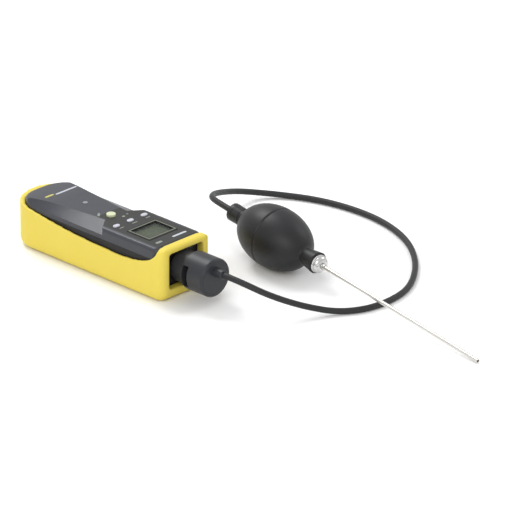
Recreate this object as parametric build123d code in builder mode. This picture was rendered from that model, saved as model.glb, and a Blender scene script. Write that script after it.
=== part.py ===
from build123d import *
import os
from math import asin, cos, degrees, pi, radians, tan

os.makedirs("parts", exist_ok=True)

# Portable gas detector with a hand aspirator. Millimetres, +Z up. The origin is the centre of
# the boot's underside; +X runs along the meter towards its sensor, and +Y is the meter's left.

# Protective boot
boot_length = 209.0
boot_half_width = 34.5
boot_floor = 6.0
boot_side_wall = 3.5
boot_back_wall = 6.0
boot_front_wall = 9.0
boot_back_radius = 28.0
boot_front_radius = 10.0
boot_bottom_radius = 8.0
bar_top = 54.0
bar_edge_radius = 3.0
bar_end_radius = 12.0
bar_end_run = 7.0
rim_back_height = 47.5
rim_back_runs = ((30.0, 42.5), (88.0, 35.8))
rim_front_runs = ((66.0, 33.7), (16.5, 37.4), (6.0, 41.9))
rim_bar_height = 47.4
rim_overrun = 4.0
opening_half_width = 22.5
opening_margin = 1.8
opening_height = 37.0
opening_corner_radius = 3.5
boot_gap = 0.3
window_margin = 5.0

# Case: two shells that meet at split_height
case_height = 46.5
case_wall = 2.2
rear_floor = 2.6
split_height = 41.0
shell_gap = 0.1
case_top_radius = 4.0
case_bottom_radius = 3.0
case_front_radius = 6.0
scoop_from_back = 12.0
scoop_from_front = 59.0
shoulder_from_front = 71.7
shoulder_run = 15.0
shoulder_bow = 0.5
shoulder_depth = 7.0
scoop_half_width_back = 25.5
scoop_half_width_front = 11.0
scoop_drop = 7.1
scoop_margin = 2.0
shoulder_half_width = 13.5
fall_from_back = 48.0
fall_drop = 4.0
ceiling_height = 2.2
channel_half_width = 10.5
seal_width = 1.2
seal_depth = 0.9
seal_height = 2.4
key_pocket_half_width = 25.3

# Fasteners
case_screw_radius = 1.5
case_screw_head_radius = 2.8
case_screw_head_height = 2.2
case_screw_seat = 22.0
case_screw_reach = 6.0
case_boss_radius = 4.5
case_boss_margin = 1.75
board_screw_radius = 1.2
board_screw_head_radius = 2.2
board_screw_head_height = 1.6
board_screw_reach = 5.0
board_post_radius = 2.6
screw_clearance = 0.15
thread_gap = 0.03

# Electronics
board_length = 100.0
board_from_front = 14.7
board_half_width = 26.0
board_thickness = 1.6
board_lift = 0.4
switch_size = 6.0
switch_height = 2.4
membrane_thickness = 0.8
chip_height = 2.0
buzzer_radius = 7.0
buzzer_height = 7.5

# Buttons: each slides down by button_travel
button_travel = 0.8
button_proud = 1.1
button_crown = 0.7
button_gap = 0.2
flange_margin = 0.9
flange_thickness = 1.2
power_radius = 4.6
power_from_front = 88.8
power_y = -3.8
power_proud = 2.2
key_row_from_front = 67.0
key_pitch = 18.4
key_row_y = 0.5
key_length = 7.6
key_width = 4.8
led_radius = 2.6
led_from_front = 128.1
led_proud = 0.5
led_crown = 0.4
lamp_room = 6.0

# Display
display_from_front = 36.6
window_length = 25.0
window_width = 33.0
bezel_length = 32.0
bezel_width = 39.0
bezel_proud = 0.4
pocket_depth = 1.6
pane_thickness = 0.8
glass_length = 31.4
glass_width = 38.8
glass_thickness = 2.2
glass_drop = 0.9
holder_wall = 1.6
strip_width = 1.8
panel_thickness = 2.6
assembly_gap = 0.1

# Battery compartment
battery_length = 48.5
battery_width = 26.5
battery_height = 17.5
stud_pitch = 12.7
stud_radii = (2.8, 3.6)
stud_length = 2.4
snap_width = 24.0
snap_height = 13.0
snap_thickness = 4.4
pad_length = 40.0
pad_width = 20.0
pad_thickness = 3.0
battery_from_back = 11.7
door_from_back = 9.0
door_length = 56.3
door_margin = 1.95
door_thickness = 2.4
door_gap = 0.3
door_pin_radius = 0.75
door_pin_length = 1.8
pin_clearance = 0.06

# Sensor nose and sampling cap
nose_margin = 1.5
nose_radius = 10.7
nose_length = 20.5
nose_bore_radius = 8.3
nose_flange_half_width = 15.0
nose_flange_thickness = 4.0
nose_lip = 3.0
nose_lip_radius = 6.4
cell_length = 15.5
socket_length = 3.6
o_ring_section = 0.9
o_ring_from_case = 11.3
cap_radius = 19.2
cap_from_case = 2.3
cap_length = 46.5
sleeve_radius = 16.0
sleeve_length = 17.5
step_radius = 1.2
cap_bore_clearance = 0.3
cap_front_wall = 20.5
cap_edge_radius = 3.0
vent_length = 7.0
vent_half_height = 10.5
nub_rise = 6.7
nub_radius = 4.6
nub_length = 10.5
spigot_radius = 3.0
nub_bore_radius = 1.5

# Aspirator bulb, its valves and the probe lie on one straight axis
bulb_centre = Vector(119.4, 105.1, 30.25)
probe_end = Vector(405.5, 80.5, 2.15)
bulb_half_length = 45.0
bulb_radius = 30.0
bulb_wall = 2.6
bulb_neck_radius = 8.6
outlet_face = -48.0
inlet_waist = 46.0
inlet_waist_radius = 8.6
inlet_face = 61.5
inlet_face_radius = 10.8
neck_bore_radius = 5.5
press_gap = 0.05
collar_radius = 9.0
collar_length = 14.0
retainer_length = 4.0
outlet_disc_radius = 5.6
inlet_disc_radius = 3.2
disc_thickness = 1.2
fitting_radius = 9.2
fitting_length = 8.0
probe_radius = 2.0
probe_bore_radius = 1.3
probe_socket = 6.0
swaged_radius = 1.75
swage_margin = 0.5
ferrule_radius = 3.2
ferrule_length = 3.0
tip_length = 5.0

# Sample hose
hose_radius = 3.0
hose_floor = hose_radius

# Places that follow from the sizes above
boot_back = -boot_length / 2
boot_front = boot_length / 2
cavity_back = boot_back + boot_back_wall
cavity_front = boot_front - boot_front_wall
cavity_half_width = boot_half_width - boot_side_wall
bar_end_cut = bar_end_radius * (1 - cos(radians(45)))
case_bottom = boot_floor
case_top = case_bottom + case_height
case_back = cavity_back + boot_gap
case_front = cavity_front - boot_gap
case_half_width = cavity_half_width - boot_gap
case_back_radius = boot_back_radius - boot_side_wall - boot_gap
inner_back = case_back + case_wall
inner_front = case_front - case_wall
inner_half_width = case_half_width - case_wall
inner_back_radius = case_back_radius - case_wall
inner_front_radius = case_front_radius - case_wall
inner_bottom = case_bottom + rear_floor
inner_top = case_top - case_wall
ceiling = split_height + ceiling_height
nose_height = split_height - nose_radius - nose_margin
opening_sill = nose_height - sleeve_radius - opening_margin
board_bottom = split_height + board_lift
board_top = board_bottom + board_thickness
switch_top = board_top + switch_height
membrane_top = switch_top + membrane_thickness
button_bottom = membrane_top + button_travel + assembly_gap
flange_top = inner_top - assembly_gap
glass_top = inner_top - glass_drop
glass_bottom = glass_top - glass_thickness
pocket_floor = case_top - pocket_depth
nose_front = case_front + nose_length
cap_bore_radius = nose_radius + cap_bore_clearance
nub_height = nose_height + nub_rise
scoop_back = case_back + scoop_from_back
scoop_front = case_front - scoop_from_front
shoulder_x = case_front - shoulder_from_front
display_x = case_front - display_from_front
key_row_x = case_front - key_row_from_front
led_x = case_front - led_from_front
fall_x = case_back + fall_from_back
battery_back = case_back + battery_from_back
door_back = case_back + door_from_back
door_half_width = battery_width / 2 + door_margin
door_pivot_x = door_back + door_length
board_front = case_front - board_from_front
board_back = board_front - board_length
o_ring_x = case_front + o_ring_from_case
cap_back = case_front + cap_from_case
cap_front = cap_back + cap_length
barrel_back = cap_back + sleeve_length
cap_chamber_front = cap_front - cap_front_wall
nub_front = cap_front + nub_length
back_screw_y = battery_width / 2 + case_boss_radius + case_boss_margin
case_screw_places = [
    (case_back + 13.7, back_screw_y),
    (case_back + 13.7, -back_screw_y),
    (case_front - 9.2, 23.0),
    (case_front - 9.2, -23.0),
]
board_screw_places = [
    (board_back + 5.0, 22.0),
    (board_back + 5.0, -22.0),
    (board_front - 6.0, 24.2),
    (board_front - 6.0, -24.2),
]
power_place = (case_front - power_from_front, power_y)
key_places = {
    "hold_button": (key_row_x, key_row_y - key_pitch),
    "backlight_button": (key_row_x, key_row_y),
    "peak_button": (key_row_x, key_row_y + key_pitch),
}


def body_plan(back, front, half_width, back_radius, front_radius):
    """A rectangle with one corner radius at the back and another at the front."""
    with BuildSketch(mode=Mode.PRIVATE) as plan:
        with Locations(((back + front) / 2, 0)):
            Rectangle(front - back, 2 * half_width)
        fillet(plan.vertices().group_by(Axis.X)[0], back_radius)
        fillet(plan.vertices().group_by(Axis.X)[-1], front_radius)
    return plan.sketch


def rectangle_plan(back, front, right, left):
    """A plain rectangle between two X values and two Y values."""
    with BuildSketch(mode=Mode.PRIVATE) as plan:
        with Locations(((back + front) / 2, (right + left) / 2)):
            Rectangle(front - back, left - right)
    return plan.sketch


# ---------------------------------------------------------------- protective boot
# One moulded rubber sleeve: open along the top, with a bar across the sensor end.
with BuildPart() as protective_boot:
    with BuildSketch():
        add(body_plan(boot_back, boot_front, boot_half_width, boot_back_radius, boot_front_radius))
    extrude(amount=bar_top)
    fillet(protective_boot.faces().sort_by(Axis.Z)[0].edges(), boot_bottom_radius)
    fillet(protective_boot.faces().sort_by(Axis.Z)[-1].edges(), bar_edge_radius)
    with BuildSketch(Plane.XY.offset(boot_floor)):
        add(
            body_plan(
                cavity_back,
                cavity_front,
                cavity_half_width,
                boot_back_radius - boot_side_wall,
                case_front_radius + boot_gap,
            )
        )
    extrude(amount=bar_top, mode=Mode.SUBTRACT)
    # The side walls dip in the middle, and rise round the back and towards the bar.
    with BuildSketch(Plane.XZ):
        with BuildLine():
            rim = Spline(
                (boot_back - rim_overrun, rim_back_height),
                *[(boot_back + run, height) for run, height in rim_back_runs],
                *[(cavity_front - run, height) for run, height in rim_front_runs],
                (cavity_front, rim_bar_height),
            )
            Polyline(
                rim @ 1,
                (cavity_front, 2 * bar_top),
                (boot_back - rim_overrun, 2 * bar_top),
                rim @ 0,
            )
        make_face()
    extrude(amount=boot_half_width + 1, both=True, mode=Mode.SUBTRACT)
    # The bar's two ends are rounded off, down to the rim.
    for side in (1, -1):
        with BuildSketch(Plane.YZ.offset(cavity_front - bar_end_run)):
            with BuildLine():
                bar_end = ThreePointArc(
                    (side * boot_half_width, bar_top - bar_end_radius),
                    (side * (boot_half_width - bar_end_cut), bar_top - bar_end_cut),
                    (side * (boot_half_width - bar_end_radius), bar_top),
                )
                Polyline(
                    bar_end @ 1,
                    (side * (boot_half_width - bar_end_radius), bar_top + 1),
                    (side * (boot_half_width + 1), bar_top + 1),
                    (side * (boot_half_width + 1), bar_top - bar_end_radius),
                    bar_end @ 0,
                )
            make_face()
        extrude(amount=bar_end_run + boot_front_wall + 1, mode=Mode.SUBTRACT)
    # The sensor comes out through the end wall, and the battery door through the floor.
    with BuildSketch(Plane.YZ.offset(cavity_front - 1)):
        with Locations((0, opening_sill + opening_height / 2)):
            RectangleRounded(2 * opening_half_width, opening_height, opening_corner_radius)
    extrude(amount=boot_front_wall + 4, mode=Mode.SUBTRACT)
    with BuildSketch(Plane.XY.offset(-1)):
        add(
            rectangle_plan(
                door_back - window_margin,
                door_pivot_x + window_margin,
                -door_half_width - window_margin / 2,
                door_half_width + window_margin / 2,
            )
        )
    extrude(amount=boot_floor + 2, mode=Mode.SUBTRACT)
protective_boot.part.label = "protective_boot"
export_step(protective_boot.part, "parts/protective_boot.step")


# ---------------------------------------------------------------- front case
# The finger scoop's wall slants inwards and gets deeper towards the display head.
def scoop_corners(half_width):
    """Section of the right-hand scoop, as (y, z): the slant, and a margin beyond the case."""
    slant_top = (-half_width, case_top)
    slant_foot = (-case_half_width, case_top - scoop_drop)
    outside = -case_half_width - scoop_margin
    above = case_top + scoop_margin
    return [slant_top, slant_foot, (outside, slant_foot[1]), (outside, above), (-half_width, above)]


with BuildPart() as grip_scoop:
    with BuildSketch(Plane.YZ.offset(scoop_back)):
        with BuildLine():
            Polyline(*scoop_corners(scoop_half_width_back), close=True)
        make_face()
    with BuildSketch(Plane.YZ.offset(scoop_front)):
        with BuildLine():
            Polyline(*scoop_corners(scoop_half_width_front), close=True)
        make_face()
    loft(ruled=True)
    with BuildSketch(Plane.XY.offset(split_height)):
        with BuildLine():
            shoulder = ThreePointArc(
                (shoulder_x, -case_half_width - scoop_margin),
                (shoulder_x - shoulder_run / 2 + shoulder_bow, -case_half_width + shoulder_depth),
                (shoulder_x - shoulder_run, -shoulder_half_width),
            )
            Polyline(
                shoulder @ 1,
                (scoop_back - scoop_margin, -shoulder_half_width),
                (scoop_back - scoop_margin, -case_half_width - scoop_margin),
                shoulder @ 0,
            )
        make_face()
    extrude(amount=case_height, mode=Mode.INTERSECT)


def key_outline(place, margin):
    """The oval of a small key, grown by margin."""
    with BuildSketch(mode=Mode.PRIVATE) as oval:
        with Locations(place):
            SlotOverall(key_length + 2 * margin, key_width + 2 * margin, rotation=90)
    return oval.sketch


def power_outline(place, margin):
    """The round outline of the power button, grown by margin."""
    with BuildSketch(mode=Mode.PRIVATE) as disc:
        with Locations(place):
            Circle(power_radius + margin)
    return disc.sketch


def post_top(place):
    """Height of a post's root: the head's roof, or the handle's ceiling."""
    return inner_top if place[0] > key_row_x else ceiling


with BuildPart() as front_case:
    with BuildSketch(Plane.XY.offset(split_height)):
        add(body_plan(case_back, case_front, case_half_width, case_back_radius, case_front_radius))
    extrude(amount=case_top - split_height)
    # The face falls in a long arc towards the far end, and its edge is rounded all the way round.
    with BuildSketch(Plane.XZ):
        with BuildLine():
            fall = TangentArc((fall_x, case_top), (case_back, case_top - fall_drop), tangent=(-1, 0))
            Polyline(fall @ 1, (case_back - 1, case_top - fall_drop), (case_back - 1, case_top + 1))
            Polyline((case_back - 1, case_top + 1), (fall_x, case_top + 1), fall @ 0)
        make_face()
    extrude(amount=boot_half_width, both=True, mode=Mode.SUBTRACT)
    upright_faces = front_case.faces().filter_by(lambda face: abs(face.normal_at().Z) < 0.1)
    upper_edges = upright_faces.edges().filter_by(lambda edge: edge.center().Z > case_top - fall_drop - 1)
    face_edges = upper_edges.filter_by(lambda edge: abs(edge.tangent_at(0.5).Z) < 0.5)
    fillet(face_edges, case_top_radius)
    add(grip_scoop.part, mode=Mode.SUBTRACT)
    add(grip_scoop.part.mirror(Plane.XZ), mode=Mode.SUBTRACT)
    # Hollows: a shallow tray over the whole plan, a channel in the handle, and the head's pocket.
    with BuildSketch(Plane.XY.offset(split_height)):
        add(body_plan(inner_back, inner_front, inner_half_width, inner_back_radius, inner_front_radius))
    extrude(amount=ceiling - split_height, mode=Mode.SUBTRACT)
    with BuildSketch(Plane.XY.offset(split_height)):
        add(rectangle_plan(led_x - lamp_room, key_row_x - 3, -channel_half_width, channel_half_width))
        add(rectangle_plan(key_row_x - 5, key_row_x + 5, -key_pocket_half_width, key_pocket_half_width))
        add(rectangle_plan(key_row_x + 4.5, inner_front, -inner_half_width, inner_half_width))
    extrude(amount=inner_top - split_height, mode=Mode.SUBTRACT)
    # Posts for the case screws and the board screws. The head's posts are taller than the handle's.
    for place in case_screw_places:
        with BuildSketch(Plane.XY.offset(split_height)):
            with Locations(place):
                Circle(case_boss_radius)
        extrude(amount=post_top(place) - split_height)
    for place in board_screw_places:
        with BuildSketch(Plane.XY.offset(board_top)):
            with Locations(place):
                Circle(board_post_radius)
        extrude(amount=post_top(place) - board_top)
    with BuildSketch(Plane.XY.offset(split_height)):
        with Locations(*case_screw_places):
            Circle(case_screw_radius + thread_gap)
    extrude(amount=case_screw_reach + thread_gap, mode=Mode.SUBTRACT)
    with BuildSketch(Plane.XY.offset(board_top)):
        with Locations(*board_screw_places):
            Circle(board_screw_radius + thread_gap)
    extrude(amount=board_screw_reach + thread_gap, mode=Mode.SUBTRACT)
    # The face: bezel pocket, display window, button holes and the lamp's hole.
    with BuildSketch(Plane.XY.offset(pocket_floor)):
        with Locations((display_x, 0)):
            RectangleRounded(bezel_length + 2 * assembly_gap, bezel_width + 2 * assembly_gap, 2)
    extrude(amount=pocket_depth + 1, mode=Mode.SUBTRACT)
    with BuildSketch(Plane.XY.offset(split_height)):
        with Locations((display_x, 0)):
            Rectangle(window_length, window_width)
        add(power_outline(power_place, button_gap))
        for place in key_places.values():
            add(key_outline(place, button_gap))
        with Locations((led_x, 0)):
            Circle(led_radius + assembly_gap)
    extrude(amount=case_height, mode=Mode.SUBTRACT)
front_case.part.label = "front_case"
export_step(front_case.part, "parts/front_case.step")

# ---------------------------------------------------------------- rear case
# The deep tray that holds the battery and the sensor. Its floor has the battery opening.
with BuildPart() as rear_case:
    with BuildSketch(Plane.XY.offset(case_bottom)):
        add(body_plan(case_back, case_front, case_half_width, case_back_radius, case_front_radius))
    extrude(amount=split_height - shell_gap - case_bottom)
    fillet(rear_case.faces().sort_by(Axis.Z)[0].edges(), case_bottom_radius)
    with BuildSketch(Plane.XY.offset(inner_bottom)):
        add(body_plan(inner_back, inner_front, inner_half_width, inner_back_radius, inner_front_radius))
    extrude(amount=split_height, mode=Mode.SUBTRACT)
    with BuildSketch(Plane.XY.offset(inner_bottom)):
        with Locations(*case_screw_places):
            Circle(case_boss_radius)
    extrude(amount=split_height - shell_gap - inner_bottom)
    with BuildSketch(Plane.XY.offset(case_bottom)):
        with Locations(*case_screw_places):
            Circle(case_screw_radius + screw_clearance)
    extrude(amount=split_height, mode=Mode.SUBTRACT)
    with BuildSketch(Plane.XY.offset(case_bottom)):
        with Locations(*case_screw_places):
            Circle(case_screw_head_radius + screw_clearance)
    extrude(amount=case_screw_seat + case_screw_head_height - case_bottom, mode=Mode.SUBTRACT)
    # Battery opening, with two blind holes for the door's pins.
    with BuildSketch(Plane.XY.offset(case_bottom)):
        add(
            rectangle_plan(
                door_back - door_gap,
                door_pivot_x + door_thickness / 2 + door_gap,
                -door_half_width - door_gap,
                door_half_width + door_gap,
            )
        )
    extrude(amount=rear_floor, mode=Mode.SUBTRACT)
    with BuildSketch(Plane.XZ):
        with Locations((door_pivot_x, case_bottom + rear_floor / 2)):
            Circle(door_pin_radius + pin_clearance)
    extrude(amount=door_half_width + door_pin_length + door_gap, both=True, mode=Mode.SUBTRACT)
    # Hole in the end wall for the sensor nose.
    with BuildSketch(Plane.YZ.offset(inner_front - 1)):
        with Locations((0, nose_height)):
            Circle(nose_radius + assembly_gap)
    extrude(amount=case_wall + 2, mode=Mode.SUBTRACT)
rear_case.part.label = "rear_case"
export_step(rear_case.part, "parts/rear_case.step")

# Gasket that fills the joint line just inside the two shells' walls.
with BuildPart() as case_seal:
    with BuildSketch(Plane.XY.offset(split_height - seal_depth)):
        add(
            body_plan(
                inner_back + assembly_gap,
                inner_front - assembly_gap,
                inner_half_width - assembly_gap,
                inner_back_radius - assembly_gap,
                inner_front_radius - assembly_gap,
            )
        )
        add(
            body_plan(
                inner_back + seal_width,
                inner_front - seal_width,
                inner_half_width - seal_width,
                inner_back_radius - seal_width,
                inner_front_radius - seal_width,
            ),
            mode=Mode.SUBTRACT,
        )
    extrude(amount=seal_height)
    with BuildSketch(Plane.XY.offset(split_height - seal_depth)):
        with Locations(*case_screw_places):
            Circle(case_boss_radius + assembly_gap)
    extrude(amount=seal_height, mode=Mode.SUBTRACT)
case_seal.part.label = "case_seal"
export_step(case_seal.part, "parts/case_seal.step")

# Four screws reach up through the rear case's columns into the front case's posts.
with BuildPart() as case_screws:
    with BuildSketch(Plane.XY.offset(case_screw_seat)):
        with Locations(*case_screw_places):
            Circle(case_screw_head_radius)
    extrude(amount=case_screw_head_height)
    with BuildSketch(Plane.XY.offset(case_screw_seat)):
        with Locations(*case_screw_places):
            Circle(case_screw_radius)
    extrude(amount=split_height + case_screw_reach - case_screw_seat)
    with BuildSketch(Plane.XY.offset(case_screw_seat)):
        with Locations(*case_screw_places):
            RegularPolygon(1.4, 6)
    extrude(amount=1.2, mode=Mode.SUBTRACT)
case_screws.part.label = "case_screws"
export_step(case_screws.part, "parts/case_screws.step")

# ---------------------------------------------------------------- battery compartment
# The door turns on two pins at its front edge, which is rounded about their axis.
door_bottom = case_bottom + (rear_floor - door_thickness) / 2
door_axis_height = case_bottom + rear_floor / 2
with BuildPart() as battery_door:
    with BuildSketch(Plane.XY.offset(door_bottom)):
        add(rectangle_plan(door_back, door_pivot_x, -door_half_width, door_half_width))
    extrude(amount=door_thickness)
    with BuildSketch(Plane.XZ):
        with Locations((door_pivot_x, door_axis_height)):
            Circle(door_thickness / 2)
    extrude(amount=door_half_width, both=True)
    with BuildSketch(Plane.XZ):
        with Locations((door_pivot_x, door_axis_height)):
            Circle(door_pin_radius)
    extrude(amount=door_half_width + door_pin_length, both=True)
    with BuildSketch(Plane.XY.offset(door_bottom)):
        for groove_number in range(4):
            with Locations((door_back + 6 + 3 * groove_number, 0)):
                Rectangle(1.4, 18)
    extrude(amount=0.6, mode=Mode.SUBTRACT)
battery_door.part.label = "battery_door"
export_step(battery_door.part, "parts/battery_door.step")

battery_bottom = inner_bottom + 0.6
battery_middle = battery_bottom + battery_height / 2
stud_ys = (-stud_pitch / 2, stud_pitch / 2)
with BuildPart() as battery:
    with BuildSketch(Plane.XY.offset(battery_bottom)):
        with Locations((battery_back + battery_length / 2, 0)):
            RectangleRounded(battery_length, battery_width, 1.5)
    extrude(amount=battery_height)
    with BuildSketch(Plane.YZ.offset(battery_back + battery_length)):
        for stud_y, stud_radius in zip(stud_ys, stud_radii):
            with Locations((stud_y, battery_middle)):
                Circle(stud_radius)
    extrude(amount=stud_length)
battery.part.label = "battery"
export_step(battery.part, "parts/battery.step")

# Snap connector: a plate with two cups over the battery's studs.
snap_back = battery_back + battery_length + assembly_gap
with BuildPart() as battery_snap:
    with BuildSketch(Plane.YZ.offset(snap_back)):
        with Locations((0, battery_middle)):
            RectangleRounded(snap_width, snap_height, 3)
    extrude(amount=snap_thickness)
    with BuildSketch(Plane.YZ.offset(snap_back)):
        for stud_y, stud_radius in zip(stud_ys, stud_radii):
            with Locations((stud_y, battery_middle)):
                Circle(stud_radius + assembly_gap)
    extrude(amount=stud_length + assembly_gap, mode=Mode.SUBTRACT)
battery_snap.part.label = "battery_snap"
export_step(battery_snap.part, "parts/battery_snap.step")

with BuildPart() as battery_pad:
    with BuildSketch(Plane.XY.offset(battery_bottom + battery_height + assembly_gap)):
        with Locations((battery_back + battery_length / 2, 0)):
            Rectangle(pad_length, pad_width)
    extrude(amount=pad_thickness)
battery_pad.part.label = "battery_pad"
export_step(battery_pad.part, "parts/battery_pad.step")

# ---------------------------------------------------------------- electronics
with BuildPart() as main_board:
    with BuildSketch(Plane.XY.offset(board_bottom)):
        add(rectangle_plan(board_back, board_front, -board_half_width, board_half_width))
        with Locations(*board_screw_places):
            Circle(board_screw_radius + screw_clearance, mode=Mode.SUBTRACT)
    extrude(amount=board_thickness)
main_board.part.label = "main_board"
export_step(main_board.part, "parts/main_board.step")

with BuildPart() as board_screws:
    with BuildSketch(Plane.XY.offset(board_bottom - board_screw_head_height)):
        with Locations(*board_screw_places):
            Circle(board_screw_head_radius)
    extrude(amount=board_screw_head_height)
    with BuildSketch(Plane.XY.offset(board_bottom - board_screw_head_height)):
        with Locations(*board_screw_places):
            Circle(board_screw_radius)
    extrude(amount=board_screw_head_height + board_thickness + board_screw_reach)
board_screws.part.label = "board_screws"
export_step(board_screws.part, "parts/board_screws.step")

with BuildPart() as board_chips:
    with BuildSketch(Plane.XY.offset(board_bottom - chip_height)):
        with Locations((board_back + 65, -8)):
            Rectangle(14, 14)
        with Locations((board_back + 42, 10)):
            Rectangle(8, 5)
        with Locations((board_back + 84, 12)):
            Rectangle(10, 6)
        with Locations((board_back + 84, -10)):
            Rectangle(6, 12)
    extrude(amount=chip_height)
board_chips.part.label = "board_chips"
export_step(board_chips.part, "parts/board_chips.step")

with BuildPart() as buzzer:
    with BuildSketch(Plane.XY.offset(board_bottom - buzzer_height)):
        with Locations((board_back + 22, 0)):
            Circle(buzzer_radius)
            Circle(1.2, mode=Mode.SUBTRACT)
    extrude(amount=buzzer_height)
buzzer.part.label = "buzzer"
export_step(buzzer.part, "parts/buzzer.step")

with BuildPart() as key_switches:
    with BuildSketch(Plane.XY.offset(board_top)):
        with Locations(power_place, *key_places.values()):
            Rectangle(switch_size, switch_size)
    extrude(amount=switch_height)
key_switches.part.label = "key_switches"
export_step(key_switches.part, "parts/key_switches.step")

# Silicone sheet that lies on the switches and keeps the wet out.
channel_fit = channel_half_width - 0.3
pocket_fit = key_pocket_half_width - 0.3
with BuildPart() as keypad_membrane:
    with BuildSketch(Plane.XY.offset(switch_top)):
        add(rectangle_plan(power_place[0] - 6, key_row_x + 4, -channel_fit, channel_fit))
        add(rectangle_plan(key_row_x - 4.7, key_row_x + 4, -pocket_fit, pocket_fit))
    extrude(amount=membrane_thickness)
keypad_membrane.part.label = "keypad_membrane"
export_step(keypad_membrane.part, "parts/keypad_membrane.step")


# ---------------------------------------------------------------- buttons
# Each cap has a crowned top, and a flange that stops it under the case's face.
def button_cap(outline, place, proud):
    """Button cap from its outline function, its place on the face and how far it stands up."""
    with BuildPart() as cap:
        with BuildSketch(Plane.XY.offset(button_bottom)):
            add(outline(place, 0))
        extrude(amount=case_top + proud - button_bottom)
        fillet(cap.faces().sort_by(Axis.Z)[-1].edges(), button_crown)
        with BuildSketch(Plane.XY.offset(flange_top - flange_thickness)):
            add(outline(place, flange_margin))
        extrude(amount=flange_thickness)
    return cap


power_button = button_cap(power_outline, power_place, power_proud)
power_button.part.label = "power_button"
export_step(power_button.part, "parts/power_button.step")

for key_name, key_place in key_places.items():
    key_cap = button_cap(key_outline, key_place, button_proud)
    key_cap.part.label = key_name
    export_step(key_cap.part, f"parts/{key_name}.step")

# Alarm lamp: a clear light guide from the board to the face.
with BuildPart() as led_lens:
    with BuildSketch(Plane.XY.offset(ceiling - 0.2)):
        with Locations((led_x, 0)):
            Circle(led_radius)
    extrude(amount=case_top + led_proud - ceiling + 0.2)
    fillet(led_lens.faces().sort_by(Axis.Z)[-1].edges(), led_crown)
led_lens.part.label = "led_lens"
export_step(led_lens.part, "parts/led_lens.step")

# ---------------------------------------------------------------- display
with BuildPart() as lcd_window:
    with BuildSketch(Plane.XY.offset(pocket_floor)):
        with Locations((display_x, 0)):
            RectangleRounded(bezel_length, bezel_width, 1.8)
    extrude(amount=pane_thickness)
lcd_window.part.label = "lcd_window"
export_step(lcd_window.part, "parts/lcd_window.step")

with BuildPart() as display_bezel:
    with BuildSketch(Plane.XY.offset(pocket_floor + pane_thickness)):
        with Locations((display_x, 0)):
            RectangleRounded(bezel_length, bezel_width, 1.8)
            Rectangle(window_length, window_width, mode=Mode.SUBTRACT)
    extrude(amount=pocket_depth - pane_thickness + bezel_proud)
display_bezel.part.label = "display_bezel"
export_step(display_bezel.part, "parts/display_bezel.step")

with BuildPart() as lcd_glass:
    with BuildSketch(Plane.XY.offset(glass_bottom)):
        with Locations((display_x, 0)):
            Rectangle(glass_length, glass_width)
    extrude(amount=glass_thickness)
lcd_glass.part.label = "lcd_glass"
export_step(lcd_glass.part, "parts/lcd_glass.step")

with BuildPart() as lcd_holder:
    with BuildSketch(Plane.XY.offset(board_top)):
        with Locations((display_x, 0)):
            Rectangle(
                glass_length + 2 * (assembly_gap + holder_wall),
                glass_width + 2 * (assembly_gap + holder_wall),
            )
            Rectangle(
                glass_length + 2 * assembly_gap,
                glass_width + 2 * assembly_gap,
                mode=Mode.SUBTRACT,
            )
    extrude(amount=flange_top - board_top)
lcd_holder.part.label = "lcd_holder"
export_step(lcd_holder.part, "parts/lcd_holder.step")

strip_y = glass_width / 2 - strip_width / 2
with BuildPart() as zebra_strips:
    with BuildSketch(Plane.XY.offset(board_top)):
        with Locations((display_x, strip_y), (display_x, -strip_y)):
            Rectangle(glass_length - 1, strip_width)
    extrude(amount=glass_bottom - board_top)
zebra_strips.part.label = "zebra_strips"
export_step(zebra_strips.part, "parts/zebra_strips.step")

with BuildPart() as backlight_panel:
    with BuildSketch(Plane.XY.offset(glass_bottom - panel_thickness)):
        with Locations((display_x, 0)):
            Rectangle(glass_length - 1, glass_width - 2 * strip_width - 1)
    extrude(amount=panel_thickness)
backlight_panel.part.label = "backlight_panel"
export_step(backlight_panel.part, "parts/backlight_panel.step")


# ---------------------------------------------------------------- sensor
def turned(back, front, radius, bore=0.0):
    """A turned piece on the nose axis, between two X values."""
    with BuildPart() as piece:
        with BuildSketch(Plane.YZ.offset(back)):
            with Locations((0, nose_height)):
                Circle(radius)
                if bore:
                    Circle(bore, mode=Mode.SUBTRACT)
        extrude(amount=front - back)
    return piece


flange_back = inner_front - assembly_gap - nose_flange_thickness
cell_front = nose_front - nose_lip - 1.4
groove_half_width = o_ring_section + 0.1
with BuildPart() as sensor_nose:
    with BuildSketch(Plane.YZ.offset(flange_back)):
        with Locations((0, nose_height)):
            RectangleRounded(2 * nose_flange_half_width, 2 * nose_radius - 0.2, 3)
    extrude(amount=nose_flange_thickness)
    with BuildSketch(Plane.YZ.offset(flange_back)):
        with Locations((0, nose_height)):
            Circle(nose_radius)
    extrude(amount=nose_front - flange_back)
    chamfer(sensor_nose.faces().sort_by(Axis.X)[-1].edges(), 1.0)
    with BuildSketch(Plane.YZ.offset(flange_back)):
        with Locations((0, nose_height)):
            Circle(nose_bore_radius)
    extrude(amount=nose_front - nose_lip - flange_back, mode=Mode.SUBTRACT)
    with BuildSketch(Plane.YZ.offset(flange_back)):
        with Locations((0, nose_height)):
            Circle(nose_lip_radius)
    extrude(amount=nose_front - flange_back + 1, mode=Mode.SUBTRACT)
    with BuildSketch(Plane.YZ.offset(o_ring_x - groove_half_width)):
        with Locations((0, nose_height)):
            Circle(nose_radius + 1)
            Circle(cap_bore_radius - 0.05 - 2 * o_ring_section, mode=Mode.SUBTRACT)
    extrude(amount=2 * groove_half_width, mode=Mode.SUBTRACT)
sensor_nose.part.label = "sensor_nose"
export_step(sensor_nose.part, "parts/sensor_nose.step")

sensor_cell = turned(cell_front - cell_length, cell_front, nose_bore_radius - 0.2)
sensor_cell.part.label = "sensor_cell"
export_step(sensor_cell.part, "parts/sensor_cell.step")

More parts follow.
